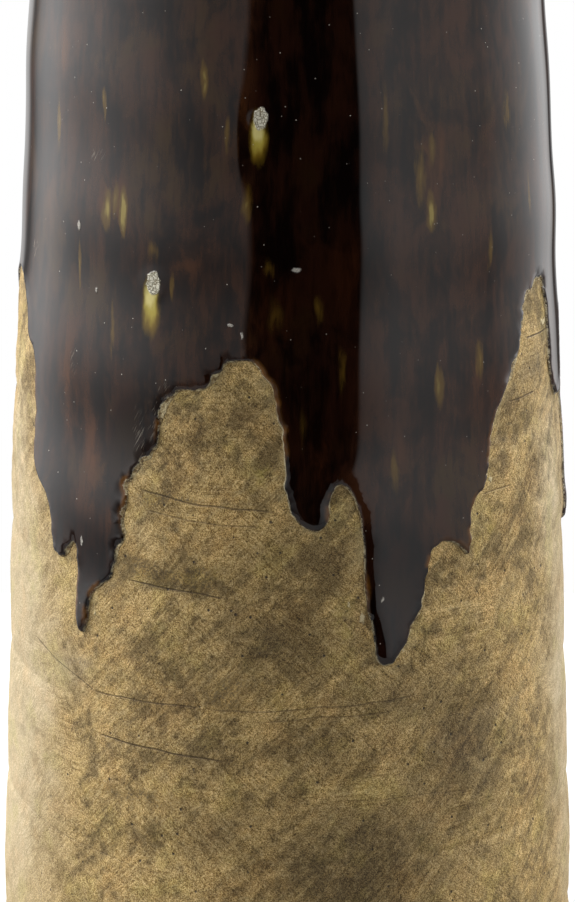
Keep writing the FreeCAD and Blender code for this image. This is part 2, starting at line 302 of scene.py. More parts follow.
def turned_faces(columns, rows, closed):
    """Quads of a grid that goes round the vase; closed joins its last row to its first."""
    count = rows if closed else rows - 1
    column, row = np.meshgrid(np.arange(columns), np.arange(count), indexing="ij")
    beside, above = (column + 1) % columns, (row + 1) % rows
    quads = [column * rows + row, beside * rows + row, beside * rows + above, column * rows + above]
    return np.stack(quads, -1).reshape(-1, 4).tolist()


def angles_round(spacing):
    """A column of angles that go round the vase about so many mm apart."""
    count = round(2 * math.pi * WALL_BASE_RADIUS / spacing)
    return np.arange(count)[:, None] * 360 / count


# ---- The glaze's lower line, laid out flat: x goes round the vase, in mm, and y is the height

def glaze_line():
    """The line sampled evenly and roughened, the way into the glaze there and the crust's width."""
    round_trip = np.array([360 * PER_DEGREE, 0])
    poles = np.array(GLAZE_LINE, float) * [PER_DEGREE, 1]
    before = np.vstack([poles[-1:] - round_trip, poles[:-1]])
    after = np.vstack([poles[1:], poles[:1] + round_trip])
    t = np.linspace(0, 1, 40, endpoint=False)[None, :, None]
    start, end = (before + poles)[:, None] / 2, (poles + after)[:, None] / 2
    fine = ((1 - t) ** 2 * start + 2 * t * (1 - t) * poles[:, None] + t**2 * end).reshape(-1, 2)
    fine = np.vstack([fine, fine[:1] + round_trip])
    length = np.concatenate([[0], np.cumsum(np.linalg.norm(np.diff(fine, axis=0), axis=1))])
    whole = length[-1]
    even = np.linspace(0, whole, int(whole / EDGE_SPACING) + 1)
    line = np.stack([np.interp(even, length, fine[:, axis]) for axis in (0, 1)], 1)
    way = np.gradient(line, axis=0)
    inward = np.stack([-way[:, 1], way[:, 0]], 1) / np.linalg.norm(way, axis=1)[:, None]

    def along(seed, cell):
        return noise(seed, even / whole * 360, 0, int(whole / cell), 50.0)

    ragged = 0.30 * along(66, 1.7) + 0.50 * along(60, 3.5) + 0.45 * along(61, 11)
    patchy = np.clip(0.55 + 1.2 * along(62, 40), 0.12, 1.6)
    ends = np.clip(np.minimum(even, whole - even) / 5, 0, 1)
    crust = np.clip(1.3 * along(63, 28) - 0.45 * inward[:, 0] - 0.15, 0.18, 1)
    frayed = np.clip(1 + 0.9 * along(64, 2.2), 0.1, 2)
    return line + inward * (ragged * patchy * ends)[:, None], inward, CRUST_WIDTH * crust * frayed * ends


LINE, INWARD, CRUST = glaze_line()
LEFT, RIGHT = LINE[0, 0], LINE[-1, 0]


def line_tree():
    """A search tree of the line and its neighbours a turn either way, with their indices on it."""
    tree = KDTree(3 * (len(LINE) - 1))
    for index, point in enumerate(LINE[:-1]):
        for turns in (-1, 0, 1):
            tree.insert((point[0] + turns * (RIGHT - LEFT), point[1], 0), index)
    tree.balance()
    return tree


LINE_TREE = line_tree()


def line_distance(points):
    """Each flat point's distance from the line, negative outside the glaze, and its nearest sample."""
    distance, nearest = np.empty(len(points)), np.empty(len(points), int)
    for i, (x, y) in enumerate(points):
        found, index, away = LINE_TREE.find((x, y, 0))
        inside = (x - found[0]) * INWARD[index, 0] + (y - found[1]) * INWARD[index, 1] > 0
        distance[i], nearest[i] = (away if inside else -away), index
    return distance, nearest


# ---- The clay

def ring_piece(name, low, high, bevels, spacing, material, rounded=False):
    """A ring of clay between two seams, each a function of the angle; the lip's top is rounded."""
    angle = angles_round(spacing)
    bottom, top = low(angle), high(angle)
    outer = bottom + (top - bottom) * np.linspace(0, 1, max(24, round(COURSE_HEIGHT / spacing)))
    around = angle + 0 * outer
    calm = np.clip((SHOULDER_TOP - outer) / SHOULDER_EASE, 0, 1)
    shape = calm * (clay_shape(around, outer) + clay_grain(around, outer))
    section = [shell_point(around, outer, shape)]
    if rounded:
        lip = np.linspace(NECK_TOP, LIP_END, 11)[None, 1:-1] + 0 * angle
        section.append(shell_point(angle + 0 * lip, lip, 0 * lip))
    back = (top + bevels[1]) + (bottom + bevels[0] - top - bevels[1]) * np.linspace(0, 1, 14)
    section.append(shell_point(angle + 0 * back, back, -WALL_THICKNESS + 0 * back))
    points = np.concatenate(section, 1)
    faces = turned_faces(len(angle), points.shape[1], closed=True)
    piece = add_piece(name, points.reshape(-1, 3), faces, material)
    piece.data.set_sharp_from_angle(angle=SHARP)
    return piece, around, outer, points.shape[1]


def seam_line(seam):
    return lambda angle: seam_height(seam, angle)


def level(up):
    return lambda angle: up + 0 * angle


def add_halo(piece, around, outer, rows):
    """Marks how near the clay's face is to the glaze's line, from 0 far away to 1 beside it."""
    halo = np.zeros((len(around), rows))
    flat = np.stack([(around + 90) % 360 - 90, outer], -1) * [PER_DEGREE, 1]
    near = (flat[..., 1] > LINE[:, 1].min() - 10) & (flat[..., 1] < LINE[:, 1].max() + 2)
    distance, _ = line_distance(flat[near])
    face = np.zeros(around.shape)
    face[near] = np.exp(-np.abs(distance) / HALO_WIDTH)
    halo[:, :face.shape[1]] = face
    set_attribute(piece, "halo", halo.ravel())


def clay_rings(material):
    for seam in range(COURSES):
        spacing = CLAY_SPACING if seam < BARE_COURSES else HIDDEN_SPACING
        made = ring_piece(f"coil_course_{seam + 1}", seam_line(seam), seam_line(seam + 1),
                          (SEAM_BEVEL, SEAM_BEVEL), spacing, material)
        if seam < BARE_COURSES:
            add_halo(*made)
    ring_piece("shoulder_course", seam_line(COURSES), level(SHOULDER_TOP), (SEAM_BEVEL, 0),
               HIDDEN_SPACING, material)
    ring_piece("neck_collar", level(SHOULDER_TOP), level(WAIST), (0, 0), HIDDEN_SPACING, material)
    ring_piece("lip_collar", level(WAIST), level(NECK_TOP), (0, 0), HIDDEN_SPACING, material,
               rounded=True)


def base_slab(material):
    """The slab with its rounded foot: a disc, so its section starts and ends on the axis."""
    angle = angles_round(CLAY_SPACING)
    ring = FOOT_RADIUS - FOOT_EDGE_INSET - FOOT_RING_WIDTH
    flat = FOOT_RADIUS - FOOT_EDGE_INSET
    under = [(radius, FOOT_RECESS) for radius in np.linspace(2, ring - FOOT_RECESS, 30)]
    under += [(ring - 1.2, 1.0), (ring, 0.15), (ring + 1.5, 0.0)]
    under += [(radius, 0.0) for radius in np.linspace(ring + 4, flat - 1.5, 8)]
    under += [(flat + FOOT_EDGE_INSET * math.sin(turn), FOOT_EDGE_HEIGHT * (1 - math.cos(turn)))
              for turn in np.linspace(0, math.pi / 2, 9)]
    under = np.array(under)[None] + np.zeros((len(angle), 1, 1))
    bumps = 0.25 * noise(50, angle, under[..., 1] + under[..., 0] / 2, 160, 6.0)
    free = np.clip((under[..., 1] - 0.5) / 1.5, 0, 1)
    underside = under + np.stack([0 * bumps, bumps * free], -1)
    top = seam_height(0, angle)
    share = np.linspace(0, 1, round((FIRST_SEAM - FOOT_EDGE_HEIGHT) / CLAY_SPACING))[None, 1:]
    up = FOOT_EDGE_HEIGHT + (top - FOOT_EDGE_HEIGHT) * share
    around = angle + 0 * up
    flare = (FOOT_RADIUS - wall_radius(up) + SEAM_DEPTH) * np.clip(1 - share * 1.15, 0, 1) ** 1.6
    wall = shell_point(around, up, flare + clay_shape(around, up) + clay_grain(around, up))
    inner = shell_point(angle, top + SEAM_BEVEL, np.full_like(top, -WALL_THICKNESS))
    corner = inner * [1, 1, 0] + [0, 0, FLOOR_HEIGHT]
    floor = [corner * [part, part, 1] for part in (1, 0.75, 0.5, 0.25, 0.02)]
    section = np.concatenate([place(angle, underside), wall, inner] + floor, 1)
    rows = section.shape[1]
    points = np.concatenate([section.reshape(-1, 3), [[0, 0, FOOT_RECESS], [0, 0, FLOOR_HEIGHT]]])
    faces = turned_faces(len(angle), rows, closed=False)
    beneath, above = len(points) - 2, len(points) - 1
    for column in range(len(angle)):
        beside = (column + 1) % len(angle)
        faces.append([beneath, beside * rows, column * rows])
        faces.append([above, column * rows + rows - 1, beside * rows + rows - 1])
    piece = add_piece("base_slab", points, faces, material)
    piece.data.set_sharp_from_angle(angle=SHARP)


# ---- The glaze

def sheet_border():
    """The loop round the flat sheet: along the glaze's line, up one side, back and down the other."""
    seam_up = np.linspace(LINE[0, 1], SHEET_TOP, SEAM_ROWS + 2)[1:-1]
    top_x = np.linspace(RIGHT, LEFT, UPPER_COLUMNS + 1)
    return np.vstack([
        LINE,
        np.stack([np.full(SEAM_ROWS, RIGHT), seam_up], 1),
        np.stack([top_x, np.full(UPPER_COLUMNS + 1, SHEET_TOP)], 1),
        np.stack([np.full(SEAM_ROWS, LEFT), seam_up[::-1]], 1),
    ])


def edge_rows():
    """Rows of points that follow the line at set depths inside it, where they meet no other run."""
    kept = []
    for depth in EDGE_DEPTHS:
        step = max(1, round(depth / EDGE_SPACING * 0.8))
        row = (LINE + INWARD * depth)[2:-2:step]
        distance, _ = line_distance(row)
        inside = (row[:, 0] > LEFT + 0.5) & (row[:, 0] < RIGHT - 0.5) & (row[:, 1] < SHEET_TOP - 1)
        kept.append(row[inside & (np.abs(distance - depth) < 0.08)])
    return np.vstack(kept)


def hex_grid(spacing, clearance):
    """Evenly spaced points inside the sheet, so far from the glaze's line."""
    points = []
    for row, y in enumerate(np.arange(LINE[:, 1].min(), SHEET_TOP - spacing / 2, spacing * 0.866)):
        x = np.arange(LEFT + spacing * (1 - row % 2 / 2), RIGHT - spacing * 0.4, spacing)
        points.append(np.stack([x, np.full_like(x, y)], 1))
    points = np.vstack(points)
    distance, _ = line_distance(points)
    return points[distance > clearance]


def flat_triangles(points, border):
    """Triangles over the inside of the border, which is the first points, through all the points."""
    edges = [(i, (i + 1) % border) for i in range(border)]
    found = delaunay_2d_cdt([Vector(p) for p in points], edges, [], 1, 1e-5)
    index = [origin[0] for origin in found[3]]
    return [[index[v] for v in face] for face in found[2]]


def relax(values, faces, rounds):
    """Averages values over the mesh's edges, so many times."""
    pairs = np.array([(f[i], f[(i + 1) % 3]) for f in faces for i in range(3)])
    first, second = np.concatenate([pairs, pairs[:, ::-1]]).T
    degree = np.bincount(first, minlength=len(values))
    for _ in range(rounds):
        total = np.bincount(first, values[second], minlength=len(values))
        values = np.where(degree > 0, 0.5 * values + 0.5 * total / np.maximum(degree, 1), values)
    return values


def run_tips():
    """The lowest point of each run of glaze, laid out flat."""
    tips = []
    for i, (angle, height) in enumerate(GLAZE_LINE):
        near = [GLAZE_LINE[(i + step) % len(GLAZE_LINE)][1] for step in range(-3, 4)]
        if height == min(near):
            tips.append((angle * PER_DEGREE, height))
    return tips


def glaze_thickness(points, faces, distance, gloss):
    """Thickness over the sheet: a dry crust, then a rolled edge, fat at the tips, and the coat."""
    def near(x, y, wide, high):
        across = (points[:, 0] - x + (RIGHT - LEFT) / 2) % (RIGHT - LEFT) - (RIGHT - LEFT) / 2
        return np.exp(-((across / wide) ** 2) - ((points[:, 1] - y) / high) ** 2)

    body = COAT + ROLL * np.exp(-np.abs(distance) / 5)
    for x, y in run_tips():
        body += TIP_ROLL * near(x, y + 5, 6, 11)
    width = np.full(len(points), EDGE_WIDTH)
    for angle, height, wide, high, extra in FAT_RUNS:
        fat = extra * near(angle * PER_DEGREE, height, wide, high)
        width = np.maximum(width, EDGE_WIDTH + fat)
        body += FAT_RISE * fat
    body = relax(body, faces, 40)
    rise = np.clip(gloss / width, 0, 1)
    lumps = 1 + 0.6 * noise(65, points[:, 0] / PER_DEGREE, points[:, 1], 600, 1.2)
    crust = CRUST_THICKNESS * lumps * np.clip(distance / 0.3, 0, 1)
    return np.maximum(crust * (1 - rise), body * np.sqrt(1 - (1 - rise) ** 2)) - SINK * (distance <= 0)


def grid_faces(rows, start, inside_out):
    """Quads of a grid of points numbered from start, which reaches round from left to right."""
    column, row = np.meshgrid(np.arange(UPPER_COLUMNS), np.arange(rows - 1), indexing="ij")
    first = column * rows + row + start
    quads = np.stack([first, first + rows, first + rows + 1, first + 1], -1).reshape(-1, 4)
    return (quads[:, ::-1] if inside_out else quads).tolist()


def weld(points, faces):
    """Joins points in the same place, as where the sheet meets itself behind the vase."""
    keys = {}
    target = np.arange(len(points))
    for i, key in enumerate(map(tuple, np.round(points, 4).tolist())):
        target[i] = keys.setdefault(key, i)
    used = np.unique(target)
    renumber = np.zeros(len(points), int)
    renumber[used] = np.arange(len(used))
    faces = [[int(renumber[target[v]]) for v in face] for face in faces]
    return points[used], [f for f in faces if len(set(f)) == len(f)], used


def shoulder_calm(up):
    """How much of the wall's unevenness is left at places above the wall."""
    return 1 - np.clip((up - WALL_TOP) / SHOULDER_EASE, 0, 1)


def outer_glaze(material):
    """The outside coat: a flat-made sheet with the ragged edge below, and a plain grid above it."""
    border = sheet_border()
    middle = hex_grid(SHEET_SPACING, EDGE_DEPTHS[-1] + SHEET_SPACING * 0.45)
    flat = np.vstack([border, edge_rows(), middle])
    faces = flat_triangles(flat, len(border))
    distance, nearest = line_distance(flat)
    distance[:len(LINE)] = 0
    gloss = distance - CRUST[nearest]
    thickness = glaze_thickness(flat, faces, distance, gloss)
    angle, up = flat[:, 0] / PER_DEGREE, flat[:, 1]
    inside = np.clip(distance / 4, 0, 1)
    inside = inside * inside * (3 - 2 * inside)
    base = clay_shape(angle, up) * (1 - inside) + glaze_shape(angle, up) * inside
    front = shell_point(angle, up, base + thickness)

    back_flat = np.vstack([border, hex_grid(BACK_SPACING, BACK_SPACING * 0.4)])
    back_faces = flat_triangles(back_flat, len(border))
    back_angle, back_up = back_flat[:, 0] / PER_DEGREE, back_flat[:, 1]
    back = shell_point(back_angle, back_up, clay_shape(back_angle, back_up) - BACK_DEPTH)
    back[:len(LINE)] = front[:len(LINE)]

    top = slice(len(LINE) + SEAM_ROWS, len(LINE) + SEAM_ROWS + UPPER_COLUMNS + 1)
    columns = angle[top][::-1, None]
    rise = np.concatenate([np.arange(SHEET_TOP, WALL_TOP, 1.5), np.arange(WALL_TOP, NECK_TOP, 3.0),
                           np.linspace(NECK_TOP, LIP_END, 10)])
    around, upper_up = np.broadcast_arrays(columns, rise)
    coat = COAT + (thickness[top][::-1, None] - COAT) * np.exp(-(rise - SHEET_TOP) / 12)
    coat = coat * np.clip((LIP_END - rise) / 6, 0.1, 1)
    upper = shell_point(around, upper_up, glaze_shape(around, upper_up) * shoulder_calm(rise) + coat)
    sparse = np.append(rise[:-1:4], rise[-1])
    around, under_up = np.broadcast_arrays(columns, sparse)
    under = clay_shape(around, under_up) * shoulder_calm(sparse) - BACK_DEPTH
    under = shell_point(around, under_up, under)
    under[:, -1] = upper[:, -1]

    starts = np.cumsum([0, len(front), len(back), upper.size // 3])
    faces = faces + [[v + starts[1] for v in reversed(face)] for face in back_faces]
    faces += grid_faces(len(rise), starts[2], False) + grid_faces(len(sparse), starts[3], True)
    points = np.vstack([front, back, upper.reshape(-1, 3), under.reshape(-1, 3)])
    edge = np.full(len(points), DEEP)
    edge[:len(front)] = np.minimum(gloss, DEEP)
    points, faces, used = weld(points, faces)
    piece = add_piece("outer_glaze", points, faces, material)
    set_attribute(piece, "edge", edge[used])


def inner_glaze(material):
    """The liner: it hangs from the lip's inner edge down the wall and over the floor."""
    angle = angles_round(HIDDEN_SPACING)
    up = np.concatenate([np.arange(FLOOR_HEIGHT, WALL_TOP, 5.0), np.arange(WALL_TOP, NECK_TOP, 3.0),
                         [NECK_TOP]])[::-1]
    around, level = angle + 0 * up, up[None] + 0 * angle
    sag = 0.25 * noise(70, around, level, 30, 60.0) + 0.2 * noise(71, around, level, 14, 20.0)
    taper = np.clip((NECK_TOP - level) / 5, 0, 1)
    wall = shell_point(around, level, -WALL_THICKNESS - (LINER_THICKNESS + sag) * taper)
    corner = wall[:, -1:] * [1, 1, 0] + [0, 0, FLOOR_HEIGHT + LINER_THICKNESS]
    floor = [corner * [share, share, 1] for share in (0.96, 0.8, 0.6, 0.4, 0.2, 0.02)]
    floor[0] = floor[0] + [0, 0, 0.6]
    back_up = up[::-2][None] + 0 * angle
    back = shell_point(angle + 0 * back_up, back_up, np.full_like(back_up, -WALL_THICKNESS + 0.3))
    base = back[:, :1] * [1, 1, 0] + [0, 0, FLOOR_HEIGHT - 0.3]
    bottom = [base * [share, share, 1] for share in (0.02, 0.5, 1.0)]
    section = np.concatenate([wall] + floor + bottom + [back[:, 1:]], 1)
    faces = [face[::-1] for face in turned_faces(len(angle), section.shape[1], closed=True)]
    add_piece("inner_glaze", section.reshape(-1, 3), faces, material)


# ---- Materials

class Nodes:
    """The nodes of a material or a world: most calls add a node and give back an output of it."""

    def __init__(self, owner):
        owner.use_nodes = True
        self.owner = owner
        self.tree = owner.node_tree

    def set(self, node, inputs):
        for key, value in inputs.items():
            socket = node.inputs[key]
            if isinstance(value, bpy.types.NodeSocket):
                self.tree.links.new(value, socket)
            else:
                socket.default_value = value

    def add(self, kind, inputs, output=0, **settings):
        node = self.tree.nodes.new("ShaderNode" + kind)
        for key, value in settings.items():
            setattr(node, key, value)
        self.set(node, inputs)
        return node.outputs[output]

    def finish(self, inputs):
        """Sets the surface of a material, which is given back."""
        self.set(next(node for node in self.tree.nodes if node.type == "BSDF_PRINCIPLED"), inputs)
        return self.owner

    def place(self):
        return self.add("TexCoord", {}, "Object")

    def attribute(self, name):
        return self.add("Attribute", {}, "Fac", attribute_name=name)

    def stretch(self, vector, scale, shift=(0, 0, 0)):
        return self.add("Mapping", {"Vector": vector, "Scale": scale, "Location": shift})

    def split(self, vector):
        return self.add("SeparateXYZ", {"Vector": vector}).node.outputs

    def noise(self, vector, scale, detail=4.0, rough=0.6, warp=0.0):
        return self.add("TexNoise", {"Vector": vector, "Scale": scale, "Detail": detail,
                                     "Roughness": rough, "Distortion": warp}, "Fac")

    def streaks(self, vector, scales, detail, rough, warp=0.0):
        """Noise with a scale of its own along each axis."""
        return self.noise(self.stretch(vector, scales), 1, detail, rough, warp)

    def warped(self, vector, scale, reach):
        """The vector moved about by a noise, by up to about this reach in metres."""
        push = self.add("TexNoise", {"Vector": vector, "Scale": scale, "Detail": 3.0}, "Color")
        push = self.add("VectorMath", {0: push, 1: (0.5, 0.5, 0.5)}, operation="SUBTRACT")
        push = self.add("VectorMath", {0: push, "Scale": reach * 3}, operation="SCALE")
        return self.add("VectorMath", {0: vector, 1: push}, operation="ADD")

    def twist(self, vector, per_metre):
        """The vector turned about the vase's axis with its height, so that uprights become slants."""
        turn = self.times(self.split(vector)["Z"], per_metre)
        return self.add("VectorRotate", {"Vector": vector, "Angle": turn}, rotation_type="Z_AXIS")

    def dots(self, vector, scale, radius):
        """Small round dots, 1 inside and 0 outside, thinly scattered through space."""
        away = self.add("TexVoronoi", {"Vector": vector, "Scale": scale}, "Distance")
        return self.share(away, radius * scale, 0.5 * radius * scale)

    def math(self, operation, a, b=0.0, c=0.0):
        return self.add("Math", {0: a, 1: b, 2: c}, operation=operation)

    def times(self, a, b):
        return self.math("MULTIPLY", a, b)

    def larger(self, a, b):
        return self.math("MAXIMUM", a, b)

    def total(self, *terms):
        """The sum of terms, each a value and its weight."""
        found = 0.0
        for value, weight in terms:
            found = self.math("MULTIPLY_ADD", value, weight, found)
        return found

    def share(self, value, low, high, to_low=0.0, to_high=1.0):
        """A value's place between two limits, clamped and eased."""
        return self.add("MapRange", {"Value": value, "From Min": low, "From Max": high,
                                     "To Min": to_low, "To Max": to_high},
                        interpolation_type="SMOOTHSTEP")

    def ramp(self, value, stops):
        """The colour at a value, from stops of (value, colour)."""
        node = self.tree.nodes.new("ShaderNodeValToRGB")
        self.tree.links.new(value, node.inputs["Fac"])
        for index, (at, colour) in enumerate(stops):
            stop = node.color_ramp.elements[index] if index < 2 else node.color_ramp.elements.new(at)
            stop.position = at
            stop.color = colour
        return node.outputs["Color"]

    def mix(self, share, a, b, kind="MIX"):
        node = self.tree.nodes.new("ShaderNodeMix")
        node.data_type = "RGBA"
        node.blend_type = kind
        self.set(node, {0: share, 6: a, 7: b})
        return node.outputs[2]

    def tinted(self, a, b):
        return self.mix(1.0, a, b, "MULTIPLY")

    def bump(self, height, strength, distance):
        return self.add("Bump", {"Height": height, "Strength": strength, "Distance": distance})

    def spot(self, vector, angle, up, wide, high):
        """A soft ellipse, so many mm across and high each way: 1 at its middle, 0 at its edge."""
        point, _ = outline(up)
        at = self.add("Mapping", {
            "Vector": vector, "Location": (place(angle, point) * MM).tolist(),
            "Rotation": (0, 0, math.radians(angle)), "Scale": (wide * MM, 0.03, high * MM),
        }, vector_type="TEXTURE")
        return self.add("TexGradient", {"Vector": at}, "Fac", gradient_type="SPHERICAL")

    def spots(self, vector, places):
        """The strongest of several spots, each (angle, height, half width, half height, strength)."""
        found = 0.0
        for angle, up, wide, high, strength in places:
            one = self.times(self.spot(vector, angle, up, wide, high), strength)
            found = self.larger(one, found)
        return found


def colour(red, green, blue):
    """A colour given in sRGB's 0 to 255."""
    parts = [c / 255 for c in (red, green, blue)]
    return tuple(p / 12.92 if p <= 0.04045 else ((p + 0.055) / 1.055) ** 2.4 for p in parts) + (1,)


# Fine lines that a tool scored in the clay: (angle, height) of both ends, and the strength.
SCORES = [
    (-33.4, 179.2, -11.1, 176.6, 1.0), (-31.8, 214.0, -1.0, 209.1, 0.9),
    (-30.0, 207.0, -4.0, 203.0, 0.6), (-62.0, 146.0, -40.0, 132.0, 0.7),
    (-42.0, 132.5, -16.0, 133.6, 0.8), (-18.0, 133.4, 27.0, 136.3, 0.65),
    (-6.0, 130.2, 22.0, 132.0, 0.55), (-40.7, 117.0, -10.2, 114.1, 1.0),
    (41.7, 209.2, 51.1, 210.0, 0.6), (57.5, 263.9, 68.9, 264.2, 1.0), (51.0, 241.6, 61.9, 241.9, 0.8),
    (-60.0, 206.0, -50.0, 193.0, 0.4), (-66.0, 74.0, -20.0, 66.0, 0.3), (8.0, 100.0, 40.0, 96.0, 0.3),
    (88.0, 128.0, 128.0, 125.0, 0.8), (105.0, 181.0, 126.0, 183.0, 0.6),
    (150.0, 152.0, 196.0, 149.0, 0.9), (160.0, 98.0, 188.0, 99.0, 0.6),
    (222.0, 171.0, 262.0, 175.0, 0.8),
]
# Where the stain that was wiped over the clay stays darkest.
STAINS = [
    (13, 70, 60, 46, 0.95), (36, 112, 42, 62, 0.8), (-3, 163, 44, 36, 0.75), (5, 192, 34, 20, 0.7),
    (-16, 118, 24, 13, 0.6), (-22, 154, 30, 18, 0.5), (-12, 86, 36, 22, 0.5), (-18, 238, 4.5, 15, 0.9),
    (-9, 232, 5, 16, 0.6), (62, 252, 14, 12, 0.7), (18, 138, 40, 26, 0.5), (-44, 46, 26, 14, 0.5),
    (4, 120, 34, 18, 0.7), (-18, 146, 30, 16, 0.5),
    (-22, 179, 26, 5, 0.7), (-27, 207, 16, 9, 0.5), (135, 110, 50, 40, 0.8), (180, 150, 60, 50, 0.7),
    (232, 90, 50, 40, 0.8),
]
# Where the tool chattered and left rows of fine ticks.
CHATTER = [
    (-24, 184, 22, 3.6, 1.0), (-19, 181, 20, 3.0, 0.7), (-24, 211, 24, 3.4, 0.7), (-46, 140, 20, 3.0, 0.5),
    (-30, 96, 26, 3.4, 0.6), (-12, 142, 14, 8, 0.6), (96, 156, 30, 3.0, 0.8), (178, 182, 30, 3.0, 0.8),
]
# Where the clay is most evenly coloured, and where it is palest: partly pale clay, partly a painted sheen,
# most of all at its sides.
CALMS = [
    (-72, 110, 92, 200, 1.0), (80, 110, 54, 170, 0.9), (150, 70, 60, 90, 0.8), (240, 130, 70, 110, 0.9),
]
PALE_AND_SHEEN_SPOTS = [
    (-76, 120, 70, 170, 1.3), (-60, 60, 44, 50, 0.6), (78, 120, 44, 170, 0.9), (-50, 138, 24, 22, 0.6),
    (70, 200, 30, 60, 0.8), (-30, 196, 12, 16, 0.3), (150, 70, 40, 60, 0.7), (252, 130, 50, 90, 0.8),
    (-74, 210, 30, 70, 0.9),
]
# Yellow-green bloom on the clay, and pale crumbs of glaze that fell on it.
BLOOMS = [(-4.6, 226, 6, 6, 1.0), (10.5, 168, 5, 12, 0.6), (-60, 258, 6, 5, 0.4), (44, 196, 6, 5, 0.5)]
CRUMBS = [
    (14.5, 169, 1.2, 3.0, 1.0), (11.7, 174, 0.7, 1.2, 0.8), (67.6, 266.8, 6.0, 1.1, 1.0),
    (70.0, 254.0, 0.8, 5.0, 0.8), (44.5, 213.8, 1.4, 1.3, 0.9), (-41.0, 163.5, 0.9, 2.0, 0.5),
    (128, 246, 1.6, 2.6, 0.8), (240, 196, 1.4, 3.0, 0.8),
]
# Where the glaze breaks to amber: the slivers themselves, and the russet stretches about them.
SLIVERS = [
    (-17, 366, 1.9, 8, 0.9), (-40.6, 355, 1.7, 8, 0.9), (-35.2, 317, 2.4, 11, 1.4),
    (-39.3, 316, 3.4, 10, 1.0), (-37.2, 320, 2.0, 9, 0.6), (-8.2, 322, 2.6, 9, 0.7),
    (29.8, 317, 3.0, 9, 1.4), (27.6, 331, 3.0, 14, 0.8), (30.4, 340, 2.5, 9, 0.6),
    (51.9, 350, 3.0, 9, 0.6), (31.3, 253, 2.6, 11, 0.7), (41.6, 261, 2.6, 10, 0.7),
    (21.1, 224, 2.6, 10, 0.5), (-23.6, 291, 1.2, 6, 0.9), (-27.5, 303, 3.2, 5, 0.5),
    (-12, 347, 1.6, 9, 0.5), (-37.5, 272, 1.5, 15, 0.5), (-47.2, 294, 1.2, 12, 0.8),
    (-2.5, 282, 4, 9, 0.25), (6.2, 284, 1.9, 7, 0.3), (-3.6, 300, 3, 5, 0.35), (10.5, 262, 2, 12, 0.3),
    (3.0, 240, 2, 12, 0.2), (20.0, 352, 2, 14, 0.5), (45.0, 300, 2, 10, 0.5), (60.0, 318, 2, 12, 0.5),
    (-56, 345, 2, 14, 0.6), (112, 340, 2.5, 12, 1.0), (140, 300, 3, 11, 0.8), (171, 352, 2.4, 12, 1.0),
    (186, 300, 3, 14, 0.8), (205, 330, 2.6, 10, 1.0), (236, 345, 2.2, 12, 0.9),
    (252, 300, 2.6, 12, 0.8),
]
RUSSETS = [
    (-37, 318, 9, 18, 0.9), (-35.6, 203, 6, 9, 1.0), (-49, 250, 9, 32, 0.7), (29, 335, 8, 26, 0.8),
    (-20, 300, 8, 24, 0.5), (-56, 372, 9, 18, 0.6), (61.7, 277, 5, 22, 0.5), (-2, 285, 10, 22, 0.8),
    (41, 256, 8, 24, 0.5), (22, 222, 8, 24, 0.5), (6, 225, 6, 22, 0.9), (-43, 222, 9, 34, 0.6),
    (-60, 318, 10, 30, 0.6), (12, 300, 9, 30, 0.6), (-9, 352, 3.4, 12, 0.9),
]
# The dark stretch of the coat, thick and unbroken, and the scuffs on its gloss.
DARKS = [
    (4.5, 320, 26, 150, 1.0), (4.5, 235, 14, 50, 1.0), (-45, 172, 22, 34, 1.2), (20, 172, 24, 38, 1.2),
    (35, 208, 14, 20, 0.12), (-33, 222, 12, 34, 1.0), (205, 170, 24, 60, 1.0), (137, 190, 20, 40, 1.0),
]
SCUFFS = [
    (-25.0, 251, 5, 7, 1.0), (-30.5, 234, 4, 16, 0.8), (-27.5, 240, 4, 12, 0.7), (-43, 336, 8, 5, 0.6),
    (-48, 260, 4, 10, 0.6), (-66, 296, 4, 4, 1.0), (118, 330, 8, 8, 0.7), (215, 300, 10, 8, 0.6),
]
# Where the glaze is thin and glows brown beside its edge.
GLOWS = [
    (12.6, 199, 3, 12, 0.3), (14.9, 178, 3, 13, 0.8), (-1.8, 235, 4, 20, 0.7),
    (-5, 262, 6, 10, 0.6), (-34, 214, 4, 22, 0.7), (-62, 236, 4, 24, 0.6), (39, 205, 3, 20, 0.4),
    (-45.9, 168, 2, 16, 0.7), (130, 215, 5, 34, 0.8), (168, 240, 5, 26, 0.8), (200, 190, 4, 34, 0.8),
    (226, 240, 5, 24, 0.8), (256, 250, 5, 24, 0.8),
]
# Where a pale line shows all along the glaze's edge: partly a pale dry edge, partly a painted highlight on
# the rolled edge.
RIMS_AND_HIGHLIGHTS = [
    (84, 245, 12, 70, 1.0), (64, 280, 8, 12, 0.9), (53, 245, 10, 34, 0.6), (-66, 262, 8, 34, 0.8),
    (-47, 186, 5, 14, 0.9), (-0.5, 235, 5, 40, 0.7), (20, 151, 9, 12, 0.7), (140, 185, 12, 40, 0.7),
    (210, 170, 12, 40, 0.7),
]
# Small pale chips in the glaze.
CHIPS = [
    (-47.4, 309, 1.0, 2.2, 0.8), (1.8, 298.8, 2.1, 1.2, 0.7), (-11.2, 278.3, 1.5, 0.7, 1.0),
    (-42.1, 286.3, 0.9, 1.6, 0.6), (-8.9, 274.5, 0.8, 1.6, 0.6), (18.4, 175.4, 0.6, 1.5, 0.7),
    (-44.5, 190.5, 0.7, 2.4, 1.0), (112, 318, 1.4, 1.4, 0.8), (190, 340, 2.0, 1.2, 0.7),
]


# A burst's tail, in layers from the outside in: (length, half width, colour), by the burst's radius.
TAILS = [
    (1.15, 1.35, colour(128, 102, 30)), (0.85, 1.1, colour(186, 168, 74)),
    (0.5, 0.95, colour(228, 214, 140)),
]


